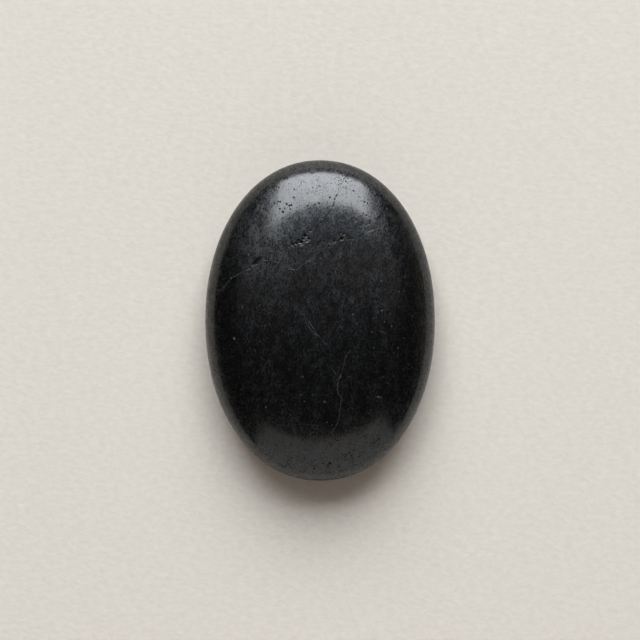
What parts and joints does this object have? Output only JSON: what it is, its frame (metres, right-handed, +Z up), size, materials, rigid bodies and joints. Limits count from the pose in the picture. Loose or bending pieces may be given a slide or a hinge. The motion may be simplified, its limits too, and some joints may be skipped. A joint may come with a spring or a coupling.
{
  "type": "polished palm stone",
  "caption": "Smooth oval palm stone of polished black carbon-rich rock, domed on top, with fine healed fractures, small chips and a flat patch to rest on.",
  "frame": {"origin": "centre of the stone's outline, on the flat patch that it rests on", "axes": "+Y along the stone's length, +X across its width, +Z up through the domed top"},
  "size_m": [0.043, 0.06, 0.014],
  "materials": {
    "shungite": "polished black carbon-rich rock, soft gloss with a faint mottled grain and hairline fractures"
  },
  "bodies": {
    "root": {"stone": "shungite"}
  },
  "joints": []
}
